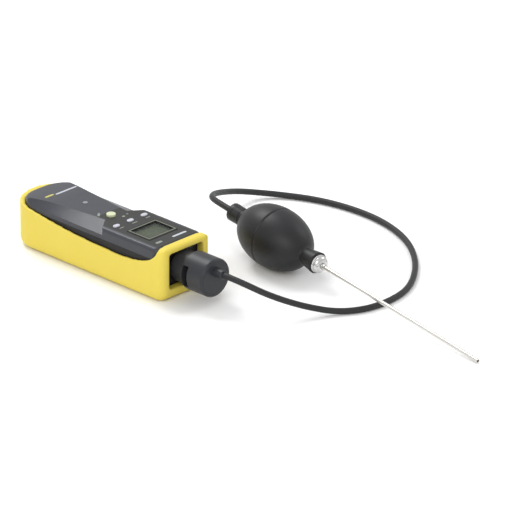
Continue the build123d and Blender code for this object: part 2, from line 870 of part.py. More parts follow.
socket_front = cell_front - cell_length - assembly_gap
sensor_socket = turned(socket_front - socket_length, socket_front, nose_bore_radius - 0.2)
sensor_socket.part.label = "sensor_socket"
export_step(sensor_socket.part, "parts/sensor_socket.step")

sensor_grille = turned(cell_front + assembly_gap, nose_front - nose_lip, nose_bore_radius - 0.2)
sensor_grille.part.label = "sensor_grille"
export_step(sensor_grille.part, "parts/sensor_grille.step")

o_ring_radius = cap_bore_radius - 0.05 - o_ring_section
with BuildPart() as nose_o_ring:
    with BuildSketch(Plane.XZ):
        with Locations((o_ring_x, nose_height + o_ring_radius)):
            Circle(o_ring_section)
    revolve(axis=Axis((0, 0, nose_height), (1, 0, 0)))
nose_o_ring.part.label = "nose_o_ring"
export_step(nose_o_ring.part, "parts/nose_o_ring.step")

# ---------------------------------------------------------------- sampling cap
# A thick rubber cup that pushes over the nose. The sample leaves through its two side vents.
vent_back = cap_chamber_front - vent_length


def is_barrel_back_edge(edge):
    """True for the big circle where the barrel steps out from the sleeve."""
    return abs(edge.radius - cap_radius) < 0.01 and abs(edge.center().X - barrel_back) < 0.01


with BuildPart() as sampling_cap:
    with BuildSketch(Plane.YZ.offset(cap_back)):
        with Locations((0, nose_height)):
            Circle(sleeve_radius)
    extrude(amount=cap_front - cap_back)
    chamfer(sampling_cap.faces().sort_by(Axis.X)[0].edges(), 1.0)
    with BuildSketch(Plane.YZ.offset(barrel_back)):
        with Locations((0, nose_height)):
            Circle(cap_radius)
    extrude(amount=cap_front - barrel_back)
    fillet(sampling_cap.faces().sort_by(Axis.X)[-1].edges(), cap_edge_radius)
    fillet(sampling_cap.edges().filter_by(GeomType.CIRCLE).filter_by(is_barrel_back_edge), step_radius)
    with BuildSketch(Plane.YZ.offset(cap_back)):
        with Locations((0, nose_height)):
            Circle(cap_bore_radius)
    extrude(amount=cap_chamber_front - cap_back, mode=Mode.SUBTRACT)
    with BuildSketch(Plane.XZ):
        with Locations(((vent_back + cap_chamber_front) / 2, nose_height)):
            Rectangle(vent_length, 2 * vent_half_height)
    extrude(amount=cap_radius + 1, both=True, mode=Mode.SUBTRACT)
    with BuildSketch(Plane.YZ.offset(cap_chamber_front - 1)):
        with Locations((0, nub_height)):
            Circle(spigot_radius + press_gap)
    extrude(amount=cap_front - cap_chamber_front + 2, mode=Mode.SUBTRACT)
sampling_cap.part.label = "sampling_cap"
export_step(sampling_cap.part, "parts/sampling_cap.step")

# Hose nipple pressed into the cap's front wall.
with BuildPart() as hose_nipple:
    with BuildSketch(Plane.YZ.offset(cap_chamber_front + 1)):
        with Locations((0, nub_height)):
            Circle(spigot_radius)
    extrude(amount=cap_front - cap_chamber_front - 1)
    with BuildSketch(Plane.YZ.offset(cap_front)):
        with Locations((0, nub_height)):
            Circle(nub_radius)
    extrude(amount=nub_length)
    fillet(hose_nipple.faces().sort_by(Axis.X)[-1].edges(), 0.8)
    with BuildSketch(Plane.YZ.offset(cap_chamber_front)):
        with Locations((0, nub_height)):
            Circle(nub_bore_radius)
    extrude(amount=cap_front - cap_chamber_front + nub_length + 1, mode=Mode.SUBTRACT)
hose_nipple.part.label = "hose_nipple"
export_step(hose_nipple.part, "parts/hose_nipple.step")

# ---------------------------------------------------------------- aspirator
# Every aspirator piece is turned about the line from the bulb's centre to the probe's end.
# Profiles are drawn with X along that line, from the bulb's centre, and Y as the radius.
stem = (probe_end - bulb_centre).normalized()
probe_reach = (probe_end - bulb_centre).length
profile_normal = Vector(stem.Y, -stem.X, 0).normalized()
stem_plane = Plane(origin=bulb_centre, x_dir=stem, z_dir=profile_normal)
stem_axis = Axis(bulb_centre, stem)


def stem_ring(back, front, radius, bore=0.0):
    """A plain turned ring on the stem line, between two distances from the bulb's centre."""
    with BuildPart() as ring:
        with BuildSketch(stem_plane):
            with Locations(((back + front) / 2, (radius + bore) / 2)):
                Rectangle(front - back, radius - bore)
        revolve(axis=stem_axis)
    return ring


neck_angle = degrees(asin(bulb_neck_radius / bulb_radius))
inner_radius = bulb_radius - bulb_wall
inner_half_length = bulb_half_length - bulb_wall
bore_angle = degrees(asin(neck_bore_radius / inner_radius))
with BuildPart() as aspirator_bulb:
    with BuildSketch(stem_plane):
        with BuildLine():
            outside = EllipticalCenterArc(
                (0, 0), bulb_half_length, bulb_radius, start_angle=neck_angle, arc_size=180 - 2 * neck_angle
            )
            inside = EllipticalCenterArc(
                (0, 0), inner_half_length, inner_radius, start_angle=bore_angle, arc_size=180 - 2 * bore_angle
            )
            Polyline(
                outside @ 0,
                (inlet_waist, inlet_waist_radius),
                (inlet_face, inlet_face_radius),
                (inlet_face, neck_bore_radius),
                inside @ 0,
            )
            Polyline(
                outside @ 1,
                (outlet_face, bulb_neck_radius),
                (outlet_face, neck_bore_radius),
                inside @ 1,
            )
        make_face()
    revolve(axis=stem_axis)
aspirator_bulb.part.label = "aspirator_bulb"
export_step(aspirator_bulb.part, "parts/aspirator_bulb.step")

# Outlet valve: its spigot fills the bulb's neck, and its chamber holds the loose disc.
spigot = neck_bore_radius - press_gap
outlet_back = outlet_face - collar_length + retainer_length
outlet_seat = outlet_face - 2
chamber_radius = outlet_disc_radius + 0.6
with BuildPart() as outlet_valve_body:
    with BuildSketch(stem_plane):
        with BuildLine():
            Polyline(
                (outlet_face + 9, 2.5),
                (outlet_face + 9, spigot),
                (outlet_face, spigot),
                (outlet_face, collar_radius),
                (outlet_back, collar_radius),
                (outlet_back, chamber_radius),
                (outlet_seat, chamber_radius),
                (outlet_seat, 2.5),
                close=True,
            )
        make_face()
    revolve(axis=stem_axis)
outlet_valve_body.part.label = "outlet_valve_body"
export_step(outlet_valve_body.part, "parts/outlet_valve_body.step")

outlet_disc_front = outlet_seat - assembly_gap
outlet_valve_disc = stem_ring(outlet_disc_front - disc_thickness, outlet_disc_front, outlet_disc_radius)
outlet_valve_disc.part.label = "outlet_valve_disc"
export_step(outlet_valve_disc.part, "parts/outlet_valve_disc.step")

outlet_retainer = stem_ring(outlet_back - retainer_length, outlet_back, collar_radius, nub_bore_radius)
outlet_retainer.part.label = "outlet_retainer"
export_step(outlet_retainer.part, "parts/outlet_retainer.step")

# Inlet valve: a plated fitting in the bulb's other neck, with the probe's socket in its face.
inlet_seat = inlet_face - 4
inlet_back = inlet_waist - 1
inlet_chamber = inlet_disc_radius + 0.5
fitting_front = inlet_face + fitting_length
socket_floor = fitting_front - probe_socket
with BuildPart() as inlet_valve_body:
    with BuildSketch(stem_plane):
        with BuildLine():
            Polyline(
                (inlet_back, inlet_chamber),
                (inlet_back, spigot),
                (inlet_face, spigot),
                (inlet_face, fitting_radius),
            )
            Line((inlet_face, fitting_radius), (inlet_face + 3, fitting_radius))
            shoulder_arc = EllipticalCenterArc(
                (inlet_face + 3, ferrule_radius),
                fitting_length - 3,
                fitting_radius - ferrule_radius,
                start_angle=0,
                arc_size=90,
            )
            Polyline(
                shoulder_arc @ 0,
                (fitting_front, swaged_radius),
                (socket_floor, swaged_radius),
                (socket_floor, 1.2),
                (inlet_seat, 1.2),
                (inlet_seat, inlet_chamber),
                (inlet_back, inlet_chamber),
            )
        make_face()
    revolve(axis=stem_axis)
inlet_valve_body.part.label = "inlet_valve_body"
export_step(inlet_valve_body.part, "parts/inlet_valve_body.step")

inlet_disc_front = inlet_seat - assembly_gap
inlet_valve_disc = stem_ring(inlet_disc_front - disc_thickness, inlet_disc_front, inlet_disc_radius)
inlet_valve_disc.part.label = "inlet_valve_disc"
export_step(inlet_valve_disc.part, "parts/inlet_valve_disc.step")

inlet_retainer = stem_ring(inlet_back + assembly_gap, inlet_back + 2, inlet_chamber - press_gap, 1.5)
inlet_retainer.part.label = "inlet_retainer"
export_step(inlet_retainer.part, "parts/inlet_retainer.step")

ferrule_front = fitting_front + ferrule_length
probe_ferrule = stem_ring(fitting_front, ferrule_front, ferrule_radius, swaged_radius)
probe_ferrule.part.label = "probe_ferrule"
export_step(probe_ferrule.part, "parts/probe_ferrule.step")

# The probe is swaged down where it enters the ferrule and the fitting.
swage_front = ferrule_front + swage_margin
with BuildPart() as probe_tube:
    add(stem_ring(socket_floor, swage_front, swaged_radius, probe_bore_radius).part)
    add(stem_ring(swage_front, probe_reach, probe_radius, probe_bore_radius).part)
probe_tube.part.label = "probe_tube"
export_step(probe_tube.part, "parts/probe_tube.step")

probe_filter = stem_ring(
    probe_reach - tip_length - 1, probe_reach - 1, probe_bore_radius - press_gap, probe_bore_radius / 2
)
probe_filter.part.label = "probe_filter"
export_step(probe_filter.part, "parts/probe_filter.step")

# ---------------------------------------------------------------- sample hose
# It leaves the cap's nipple along +X, drops to the surface, goes under the probe, round behind
# the bulb, and rises into the outlet valve along the stem line.
hose_exit = Vector(nub_front, 0, nub_height)
hose_entry = bulb_centre + stem * (outlet_back - retainer_length)
hose_lead = hose_entry - stem * 18
hose_route = [
    hose_exit,
    Vector(167, 0, nub_height),
    Vector(182, 4, 32.3),
    Vector(197, 13, 25.5),
    Vector(210, 28, 17),
    Vector(223, 46, 9),
    Vector(238, 66, hose_floor),
    Vector(253, 88, hose_floor),
    Vector(257, 116, hose_floor),
    Vector(252, 148, hose_floor),
    Vector(234, 178, hose_floor),
    Vector(207, 208, hose_floor),
    Vector(171, 234, hose_floor),
    Vector(128, 249, hose_floor),
    Vector(84, 251, hose_floor),
    Vector(43, 243, hose_floor),
    Vector(12, 228, hose_floor),
    Vector(-7, 209, 6),
    Vector(-12, 186, 13),
    Vector(-6, 160, 22),
    Vector(5, 136, 31),
    Vector(20, 118, 37),
    hose_lead,
    hose_entry,
]
hose_runs = [b - a for a, b in zip(hose_route, hose_route[1:])]
hose_turns = [a.get_angle(b) for a, b in zip(hose_runs, hose_runs[1:])]
hose_radii = [
    0.45 * min(a.length, b.length) / tan(radians(turn) / 2)
    for a, b, turn in zip(hose_runs, hose_runs[1:], hose_turns)
]
with BuildPart() as sample_hose:
    with BuildLine() as hose_line:
        FilletPolyline(*hose_route, radius=hose_radii)
    with BuildSketch(Plane(origin=hose_exit, x_dir=(0, 1, 0), z_dir=(1, 0, 0))):
        Circle(hose_radius)
    sweep(path=hose_line.wires()[0])
sample_hose.part.label = "sample_hose"
export_step(sample_hose.part, "parts/sample_hose.step")

print("hose runs", [round(run.length, 1) for run in hose_runs])
print("hose turns", [round(turn, 1) for turn in hose_turns])
print("hose radii", [round(radius, 1) for radius in hose_radii])
print("hose length", round(hose_line.wires()[0].length, 1))
hose_section = pi * hose_radius**2
print("hose volume", round(sample_hose.part.volume, 0), round(hose_section * hose_line.wires()[0].length, 0))
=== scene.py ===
import math

import bpy
import numpy as np
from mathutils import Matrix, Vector


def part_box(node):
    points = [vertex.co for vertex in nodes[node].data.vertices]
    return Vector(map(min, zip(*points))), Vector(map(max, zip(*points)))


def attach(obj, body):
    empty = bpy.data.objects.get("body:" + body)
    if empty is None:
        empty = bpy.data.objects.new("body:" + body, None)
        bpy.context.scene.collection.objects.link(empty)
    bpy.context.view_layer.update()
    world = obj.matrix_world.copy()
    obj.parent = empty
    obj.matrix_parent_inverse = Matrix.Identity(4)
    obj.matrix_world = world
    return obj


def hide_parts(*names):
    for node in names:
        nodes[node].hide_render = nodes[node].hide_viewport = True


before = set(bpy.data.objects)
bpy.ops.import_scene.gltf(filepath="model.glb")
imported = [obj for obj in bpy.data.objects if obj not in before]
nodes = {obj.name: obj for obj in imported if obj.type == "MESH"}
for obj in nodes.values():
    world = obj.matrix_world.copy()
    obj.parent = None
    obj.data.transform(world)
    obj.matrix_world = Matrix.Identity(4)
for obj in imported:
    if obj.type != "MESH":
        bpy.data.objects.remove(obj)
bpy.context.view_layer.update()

# ------------------------------------------------------------------ camera, floor and lights
# A very long lens looks down at the meter's sensor end from its right-hand side. The floor is a
# plain white board, and three broad soft lights stand round it under an even white sky.
look_at = Vector((0.0872, 0.1100, 0.0))
camera_turn = math.radians(44.5)
camera_lift = math.radians(24.2)
camera_distance = 6.0
camera_back = Vector(
    (
        math.sin(camera_turn) * math.cos(camera_lift),
        -math.cos(camera_turn) * math.cos(camera_lift),
        math.sin(camera_lift),
    )
)
camera_data = bpy.data.cameras.new("camera")
camera_data.sensor_width = 36.0
camera_data.lens = 440.5
camera_data.clip_end = 50.0
camera = bpy.data.objects.new("camera", camera_data)
camera.location = look_at + camera_back * camera_distance
camera.rotation_mode = "QUATERNION"
camera.rotation_quaternion = (-camera_back).to_track_quat("-Z", "Y")
bpy.context.scene.collection.objects.link(camera)
bpy.context.scene.camera = camera
bpy.context.scene.view_settings.view_transform = "Standard"


def area_light(name, direction, distance, width, power, tint):
    """A square soft light, some way off in a direction from the look-at point, and facing it."""
    data = bpy.data.lights.new(name, "AREA")
    data.size = width
    data.energy = power
    data.color = tint
    light = bpy.data.objects.new(name, data)
    light.location = look_at + Vector(direction).normalized() * distance
    light.rotation_mode = "QUATERNION"
    light.rotation_quaternion = (look_at - light.location).to_track_quat("-Z", "Y")
    bpy.context.scene.collection.objects.link(light)


area_light("back_light", (-0.60, 0.06, 0.80), 1.7, 0.65, 13.0, (0.98, 0.99, 1.0))
area_light("right_light", (0.45, -0.80, 0.60), 1.8, 1.0, 9.0, (1.0, 0.99, 0.98))
area_light("left_light", (0.35, 0.85, 0.75), 2.0, 1.1, 6.0, (0.97, 0.98, 1.0))

world = bpy.data.worlds.new("studio")
world.use_nodes = True
background = world.node_tree.nodes["Background"]
background.inputs["Color"].default_value = (1.0, 1.0, 1.0, 1.0)
background.inputs["Strength"].default_value = 0.82
bpy.context.scene.world = world

floor_half = 6.0
floor_gap = 0.0003
floor_corners = ((-1, -1), (1, -1), (1, 1), (-1, 1))
floor_mesh = bpy.data.meshes.new("floor")
floor_mesh.from_pydata(
    [(floor_half * x, floor_half * y, -floor_gap) for x, y in floor_corners], [], [(0, 1, 2, 3)]
)
floor = bpy.data.objects.new("floor", floor_mesh)
bpy.context.scene.collection.objects.link(floor)
floor_paint = bpy.data.materials.new("floor_paint")
floor_paint.use_nodes = True
floor_shader = floor_paint.node_tree.nodes["Principled BSDF"]
floor_shader.inputs["Base Color"].default_value = (0.94, 0.94, 0.94, 1.0)
floor_shader.inputs["Roughness"].default_value = 0.9
floor_shader.inputs["Specular IOR Level"].default_value = 0.2
floor_mesh.materials.append(floor_paint)


# ------------------------------------------------------------------ sample hose
# Extruded black rubber tube, 6 mm outside, pushed over a nipple at each end. It leaves the cap
# level, drops to the table, goes under the probe and round behind the bulb, and rises into the
# bulb's outlet valve.
class Shade:
    """A value in a material's node tree. Sums and products of such values add Math nodes."""

    def __init__(self, tree, socket=None):
        self.tree = tree
        self.socket = socket

    def node(self, kind, settings, sockets, out=0):
        """Add a node of this kind, set it, give its sockets values or links, return an output."""
        made = self.tree.nodes.new(kind)
        for key, value in settings.items():
            setattr(made, key, value)
        for key, value in sockets.items():
            if isinstance(value, Shade):
                self.tree.links.new(value.socket, made.inputs[key])
            else:
                made.inputs[key].default_value = value
        return Shade(self.tree, made.outputs[out])

    def math(self, operation, first, second=0.0):
        """A Math node on one value or two."""
        return self.node("ShaderNodeMath", {"operation": operation}, {0: first, 1: second})

    def __add__(self, other):
        return self.math("ADD", self, other)

    def __radd__(self, other):
        return self.math("ADD", other, self)

    def __sub__(self, other):
        return self.math("SUBTRACT", self, other)

    def __rsub__(self, other):
        return self.math("SUBTRACT", other, self)

    def __mul__(self, other):
        return self.math("MULTIPLY", self, other)

    def __rmul__(self, other):
        return self.math("MULTIPLY", other, self)

    def most(self, other):
        """The greater of the two values."""
        return self.math("MAXIMUM", self, other)

    def size(self):
        """The value without its sign."""
        return self.math("ABSOLUTE", self)

    def below(self, limit, soft):
        """1 where the value is under the limit, 0 where it is over, with a soft step between."""
        sockets = {"Value": self, "From Min": limit - soft, "From Max": limit + soft}
        sockets |= {"To Min": 1.0, "To Max": 0.0}
        return self.node("ShaderNodeMapRange", {"interpolation_type": "SMOOTHSTEP"}, sockets)


def start_finish(name, **constants):
    """A new material with its constant sockets set: the material, its shader and a first Shade."""
    material = bpy.data.materials.new(name)
    material.use_nodes = True
    shader = material.node_tree.nodes["Principled BSDF"]
    for socket, value in constants.items():
        shader.inputs[socket.replace("_", " ")].default_value = value
    return material, shader, Shade(material.node_tree)


def feed(shader, socket, shade):
    """Link a varying value to one socket of the shader."""
    shade.tree.links.new(shade.socket, shader.inputs[socket])


def place_on(paint):
    """Object coordinates, which are metres in the detector's own frame."""
    return paint.node("ShaderNodeTexCoord", {}, {}, out=3)


def cloud(paint, place, size, detail=3.0, roughness=0.55):
    """Soft noise between 0 and 1 whose patches are about size metres across."""
    sockets = {"Vector": place, "Scale": 1.0 / size, "Detail": detail, "Roughness": roughness}
    return paint.node("ShaderNodeTexNoise", {}, sockets)


def blend(paint, share, first, second):
    """A colour part of the way from the first to the second."""
    sockets = {0: share, 6: first, 7: second}
    return paint.node("ShaderNodeMix", {"data_type": "RGBA"}, sockets, out=2)


def relief(paint, height, depth):
    """A bumped normal from a height between 0 and 1 that stands for depth metres."""
    return paint.node("ShaderNodeBump", {}, {"Height": height, "Distance": depth, "Strength": 1.0})


def moulded_rubber(
    name, colour, bloom, roughness, grain=0.0007, depth=0.00005, sheen=0.0, gloss=0.3
):
    """Moulded rubber: a fine dull skin, cloudy handling marks, and a pale bloom where it is dusty."""
    constants = {"Sheen_Weight": sheen, "Sheen_Roughness": 0.5, "Specular_IOR_Level": gloss}
    material, shader, paint = start_finish(name, **constants)
    place = place_on(paint)
    patches = cloud(paint, place, 0.022)
    dust = cloud(paint, place, 0.0016, 6.0, 0.7)
    skin = cloud(paint, place, grain, 2.0)
    feed(shader, "Base Color", blend(paint, patches * 0.5 + dust * 0.35 - 0.1, colour, bloom))
    feed(shader, "Roughness", roughness - 0.10 + patches * 0.14 + dust * 0.08)
    feed(shader, "Normal", relief(paint, skin * 0.8 + dust * 0.3, depth))
    return material


hose_radius = 0.003
hose_floor = hose_radius
nipple_height = 0.0355
bulb_centre = Vector((0.1194, 0.1051, 0.03025))
probe_end = Vector((0.4055, 0.0805, 0.00215))
stem = (probe_end - bulb_centre).normalized()
valve_reach = 0.062
lead_run = 0.018
hose_exit = Vector((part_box("hose_nipple")[1][0], 0.0, nipple_height))
hose_entry = bulb_centre - stem * valve_reach
hose_lead = hose_entry - stem * lead_run
hose_route = [
    hose_exit,
    (0.167, 0.0, nipple_height),
    (0.182, 0.004, 0.0323),
    (0.197, 0.013, 0.0255),
    (0.210, 0.028, 0.017),
    (0.223, 0.046, 0.009),
    (0.238, 0.066, hose_floor),
    (0.253, 0.088, hose_floor),
    (0.257, 0.116, hose_floor),
    (0.252, 0.148, hose_floor),
    (0.234, 0.178, hose_floor),
    (0.207, 0.208, hose_floor),
    (0.171, 0.234, hose_floor),
    (0.128, 0.249, hose_floor),
    (0.084, 0.251, hose_floor),
    (0.043, 0.243, hose_floor),
    (0.012, 0.228, hose_floor),
    (-0.007, 0.209, 0.006),
    (-0.012, 0.186, 0.013),
    (-0.006, 0.160, 0.022),
    (0.005, 0.136, 0.031),
    (0.020, 0.118, 0.037),
    hose_lead,
    hose_entry,
]
hose_curve = bpy.data.curves.new("rubber_hose", "CURVE")
hose_curve.dimensions = "3D"
hose_curve.bevel_depth = hose_radius
hose_curve.bevel_resolution = 8
hose_curve.use_fill_caps = True
hose_curve.resolution_u = 14
hose_line = hose_curve.splines.new("NURBS")
hose_line.points.add(len(hose_route) - 1)
for control, place in zip(hose_line.points, hose_route):
    control.co = (*place, 1.0)
hose_line.order_u = 3
hose_line.use_endpoint_u = True
hose = bpy.data.objects.new("rubber_hose", hose_curve)
bpy.context.scene.collection.objects.link(hose)
hose_dark, hose_dusty = (0.018, 0.018, 0.019, 1), (0.032, 0.032, 0.033, 1)
hose_curve.materials.append(
    moulded_rubber("hose_rubber", hose_dark, hose_dusty, 0.5, grain=0.0009, depth=0.00003)
)
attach(hose, "sampling_kit")
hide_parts("sample_hose")


# ------------------------------------------------------------------ protective boot
# One thick moulded rubber sleeve in safety yellow, stretched over the cases and held by its own
# grip. Rubber leaves its mould with every edge a little round, so the boot is a slightly melted
# copy of its drawn shape.
def melted_copy(name, node, voxel, passes):
    """The node's solid as one even skin, whose points then move towards their neighbours' mean."""
    source = nodes[node]
    mesh = source.data.copy()
    draft = bpy.data.objects.new(name + "_draft", mesh)
    bpy.context.scene.collection.objects.link(draft)
    weld = draft.modifiers.new("weld", "WELD")
    weld.merge_threshold = 1e-6
    skin = draft.modifiers.new("skin", "REMESH")
    skin.mode = "VOXEL"
    skin.voxel_size = voxel
    melt = draft.modifiers.new("melt", "SMOOTH")
    melt.factor = 0.5
    melt.iterations = passes
    shown = draft.evaluated_get(bpy.context.evaluated_depsgraph_get())
    melted = bpy.data.meshes.new_from_object(shown)
    bpy.data.objects.remove(draft)
    bpy.data.meshes.remove(mesh)
    melted.name = name
    melted.materials.clear()
    melted.polygons.foreach_set("use_smooth", [True] * len(melted.polygons))
    piece = bpy.data.objects.new(name, melted)
    bpy.context.scene.collection.objects.link(piece)
    return piece


boot = melted_copy("yellow_boot", "protective_boot", voxel=0.0012, passes=4)
boot_yellow, boot_chalky = (0.700, 0.555, 0.065, 1), (0.745, 0.620, 0.128, 1)
boot.data.materials.append(
    moulded_rubber("boot_rubber", boot_yellow, boot_chalky, 0.52, grain=0.0011, depth=0.00006)
)
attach(boot, "meter")
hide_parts("protective_boot")


# ------------------------------------------------------------------ rear case and its fixings
# Deep tray in near-black engineering plastic with a spark-eroded grain. A gasket seals it to the
# front case, and four screws come up through its corner columns.
def dress(node, material):
    """Give a node of the frame its finish."""
    for holder in nodes[node].material_slots:
        holder.material = material


def mould_pits(paint, place, grain):
    """The close round pits that a spark-eroded mould leaves, about a grain apart."""
    sockets = {"Vector": place, "Scale": 1.0 / grain}
    return paint.node("ShaderNodeTexVoronoi", {"feature": "SMOOTH_F1"}, sockets)


def moulded_plastic(name, colour, worn, roughness, grain=0.0006, depth=0.00004, gloss=0.3):
    """Grained plastic: small pits from the mould, and faint cloudy wear, a little glossier."""
    material, shader, paint = start_finish(name, Specular_IOR_Level=gloss)
    place = place_on(paint)
    pits = mould_pits(paint, place, grain)
    wear = cloud(paint, place, 0.018, 4.0)
    scuff = cloud(paint, place, 0.0022, 5.0, 0.7)
    feed(shader, "Base Color", blend(paint, wear * 0.6 + scuff * 0.4 - 0.15, colour, worn))
    feed(shader, "Roughness", roughness + 0.08 - wear * 0.12 - scuff * 0.06)
    feed(shader, "Normal", relief(paint, pits * 0.7 + scuff * 0.25, depth))
    return material


rear_dark, rear_worn = (0.010, 0.010, 0.012, 1), (0.018, 0.018, 0.021, 1)
dress("rear_case", moulded_plastic("rear_plastic", rear_dark, rear_worn, 0.55))
seal_rubber = moulded_rubber("seal_rubber", (0.012, 0.012, 0.012, 1), (0.03, 0.03, 0.03, 1), 0.6)
dress("case_seal", seal_rubber)
dress("nose_o_ring", seal_rubber)


def turned_metal(name, colour, stained, roughness, ring, depth=0.000004):
    """Machined metal: thin tool rings across the stem's line, and patches that have dulled."""
    material, shader, paint = start_finish(name, Metallic=1.0)
    place = place_on(paint)
    product = {"operation": "DOT_PRODUCT"}
    along = paint.node("ShaderNodeVectorMath", product, {0: place, 1: tuple(stem)}, out=1)
    tool = {"W": along, "Scale": 1.0 / ring, "Detail": 2.0}
    rings = paint.node("ShaderNodeTexNoise", {"noise_dimensions": "1D"}, tool)
    dull = cloud(paint, place, 0.009, 4.0)
    feed(shader, "Base Color", blend(paint, dull * 0.7 + rings * 0.2, colour, stained))
    feed(shader, "Roughness", roughness + dull * 0.12 + rings * 0.08)
    feed(shader, "Normal", relief(paint, rings, depth))
    return material


screw_bright, screw_dull = (0.62, 0.63, 0.65, 1), (0.50, 0.50, 0.50, 1)
screw_steel = turned_metal("screw_steel", screw_bright, screw_dull, 0.25, ring=0.0004)
dress("case_screws", screw_steel)
dress("board_screws", screw_steel)

# ------------------------------------------------------------------ battery and its door
# A 9 V block in a plain printed sleeve, with a vinyl snap connector and a foam pad. The door is
# moulded like the rear case and swings on two pins.
door_dark, door_worn = (0.013, 0.013, 0.015, 1), (0.022, 0.022, 0.025, 1)
dress("battery_door", moulded_plastic("door_plastic", door_dark, door_worn, 0.5))


def battery_sleeve(name, band_edge):
    """Lacquered sleeve: dark body and a lighter band at the stud end, with rubbed patches."""
    material, shader, paint = start_finish(name, Coat_Weight=0.4, Coat_Roughness=0.15)
    place = place_on(paint)
    along = paint.node("ShaderNodeSeparateXYZ", {}, {"Vector": place})
    rubbed = cloud(paint, place, 0.006, 5.0)
    band = along.below(band_edge, 0.0002)
    sleeve = blend(paint, band, (0.45, 0.46, 0.47, 1), (0.03, 0.034, 0.04, 1))
    feed(shader, "Base Color", blend(paint, rubbed * 0.3, sleeve, (0.18, 0.18, 0.18, 1)))
    feed(shader, "Roughness", 0.25 + rubbed * 0.2)
    return material


stud_band = 0.012
dress("battery", battery_sleeve("battery_wrap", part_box("battery")[1][0] - stud_band))
snap_dark, snap_worn = (0.012, 0.012, 0.012, 1), (0.03, 0.03, 0.03, 1)
dress("battery_snap", moulded_plastic("snap_plastic", snap_dark, snap_worn, 0.3))
foam_dark, foam_dusty = (0.02, 0.02, 0.02, 1), (0.05, 0.05, 0.05, 1)
foam = moulded_rubber("foam", foam_dark, foam_dusty, 0.85, grain=0.0012, depth=0.0003, sheen=0.4)
dress("battery_pad", foam)


# ------------------------------------------------------------------ circuit board
# Green laminate, screwed up under the front case's posts, with its chips, sounder and switches
# soldered on. A silicone sheet lies on the switches and keeps the wet out.
def board_laminate(name):
    """Solder mask over copper: lighter tracks in fine offset rows, and a cloudy green."""
    material, shader, paint = start_finish(name, Coat_Weight=0.3, Coat_Roughness=0.2)
    place = place_on(paint)
    tracks = paint.node(
        "ShaderNodeTexBrick",
        {"offset": 0.5, "squash": 1.0},
        {"Vector": place, "Scale": 260.0, "Mortar Size": 0.06, "Mortar Smooth": 0.1},
        out=1,
    )
    weave = cloud(paint, place, 0.0008, 2.0)
    mask = blend(paint, weave * 0.5, (0.010, 0.085, 0.035, 1), (0.016, 0.11, 0.05, 1))
    feed(shader, "Base Color", blend(paint, tracks * 0.6, mask, (0.03, 0.20, 0.08, 1)))
    feed(shader, "Roughness", 0.35 + weave * 0.15)
    feed(shader, "Normal", relief(paint, tracks, 0.00003))
    return material


dress("main_board", board_laminate("board_laminate"))
resin_dark, resin_worn = (0.014, 0.014, 0.015, 1), (0.028, 0.028, 0.03, 1)
chip_resin = moulded_plastic("chip_resin", resin_dark, resin_worn, 0.5, grain=0.0003)
for resin_node in ("board_chips", "buzzer", "sensor_socket"):
    dress(resin_node, chip_resin)
switch_dark, switch_worn = (0.02, 0.02, 0.022, 1), (0.04, 0.04, 0.04, 1)
dress("key_switches", moulded_plastic("switch_plastic", switch_dark, switch_worn, 0.45))
silicone_grey, silicone_dusty = (0.06, 0.06, 0.065, 1), (0.09, 0.09, 0.095, 1)
dress("keypad_membrane", moulded_rubber("silicone", silicone_grey, silicone_dusty, 0.5))

# ------------------------------------------------------------------ display
# Liquid-crystal glass in a black holder, on layered contact strips over a milky light panel.
# A clear pane closes the face above it, and a printed frame glued into the face holds the pane.
display_low, display_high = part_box("display_bezel")
display_centre = (Vector(display_low) + Vector(display_high)) / 2
window_half_x, window_half_y = 0.0125, 0.0165
line_start, line_end = 0.0006, 0.0016


def crystal_glass(name):
    """Unlit reflective display: a grey-green film with a soft haze and a faint dark grid."""
    material, shader, paint = start_finish(name, Specular_IOR_Level=0.12)
    place = place_on(paint)
    haze = cloud(paint, place, 0.012, 3.0)
    grid = paint.node(
        "ShaderNodeTexBrick",
        {"offset": 0.0, "squash": 1.0},
        {"Vector": place, "Scale": 300.0, "Mortar Size": 0.09, "Mortar Smooth": 0.4},
        out=1,
    )
    film = blend(paint, haze, (0.066, 0.084, 0.046, 1), (0.090, 0.108, 0.066, 1))
    feed(shader, "Base Color", blend(paint, grid * 0.08, film, (0.03, 0.035, 0.025, 1)))
    feed(shader, "Roughness", 0.32 + haze * 0.1)
    return material


dress("lcd_glass", crystal_glass("lcd"))
holder_dark, holder_worn = (0.004, 0.004, 0.004, 1), (0.008, 0.008, 0.008, 1)
dress("lcd_holder", moulded_plastic("holder_plastic", holder_dark, holder_worn, 0.6))
strip_brown, strip_dusty = (0.30, 0.24, 0.20, 1), (0.45, 0.40, 0.34, 1)
dress("zebra_strips", moulded_rubber("strip_rubber", strip_brown, strip_dusty, 0.5))
panel_milky, panel_white = (0.55, 0.57, 0.55, 1), (0.68, 0.7, 0.68, 1)
dress("backlight_panel", moulded_plastic("panel_acrylic", panel_milky, panel_white, 0.3))


def clear_acrylic(name):
    """Clear pane: almost see-through, with a faint haze of fine scratches in its gloss."""
    material, shader, paint = start_finish(name)
    place = place_on(paint)
    scratches = cloud(paint, place, 0.0015, 6.0, 0.75)
    feed(shader, "Base Color", blend(paint, scratches, (0.12, 0.13, 0.12, 1), (0.20, 0.21, 0.20, 1)))
    feed(shader, "Roughness", 0.08 + scratches * 0.10)
    feed(shader, "Alpha", 0.09 + scratches * 0.05)
    return material


dress("lcd_window", clear_acrylic("window_acrylic"))


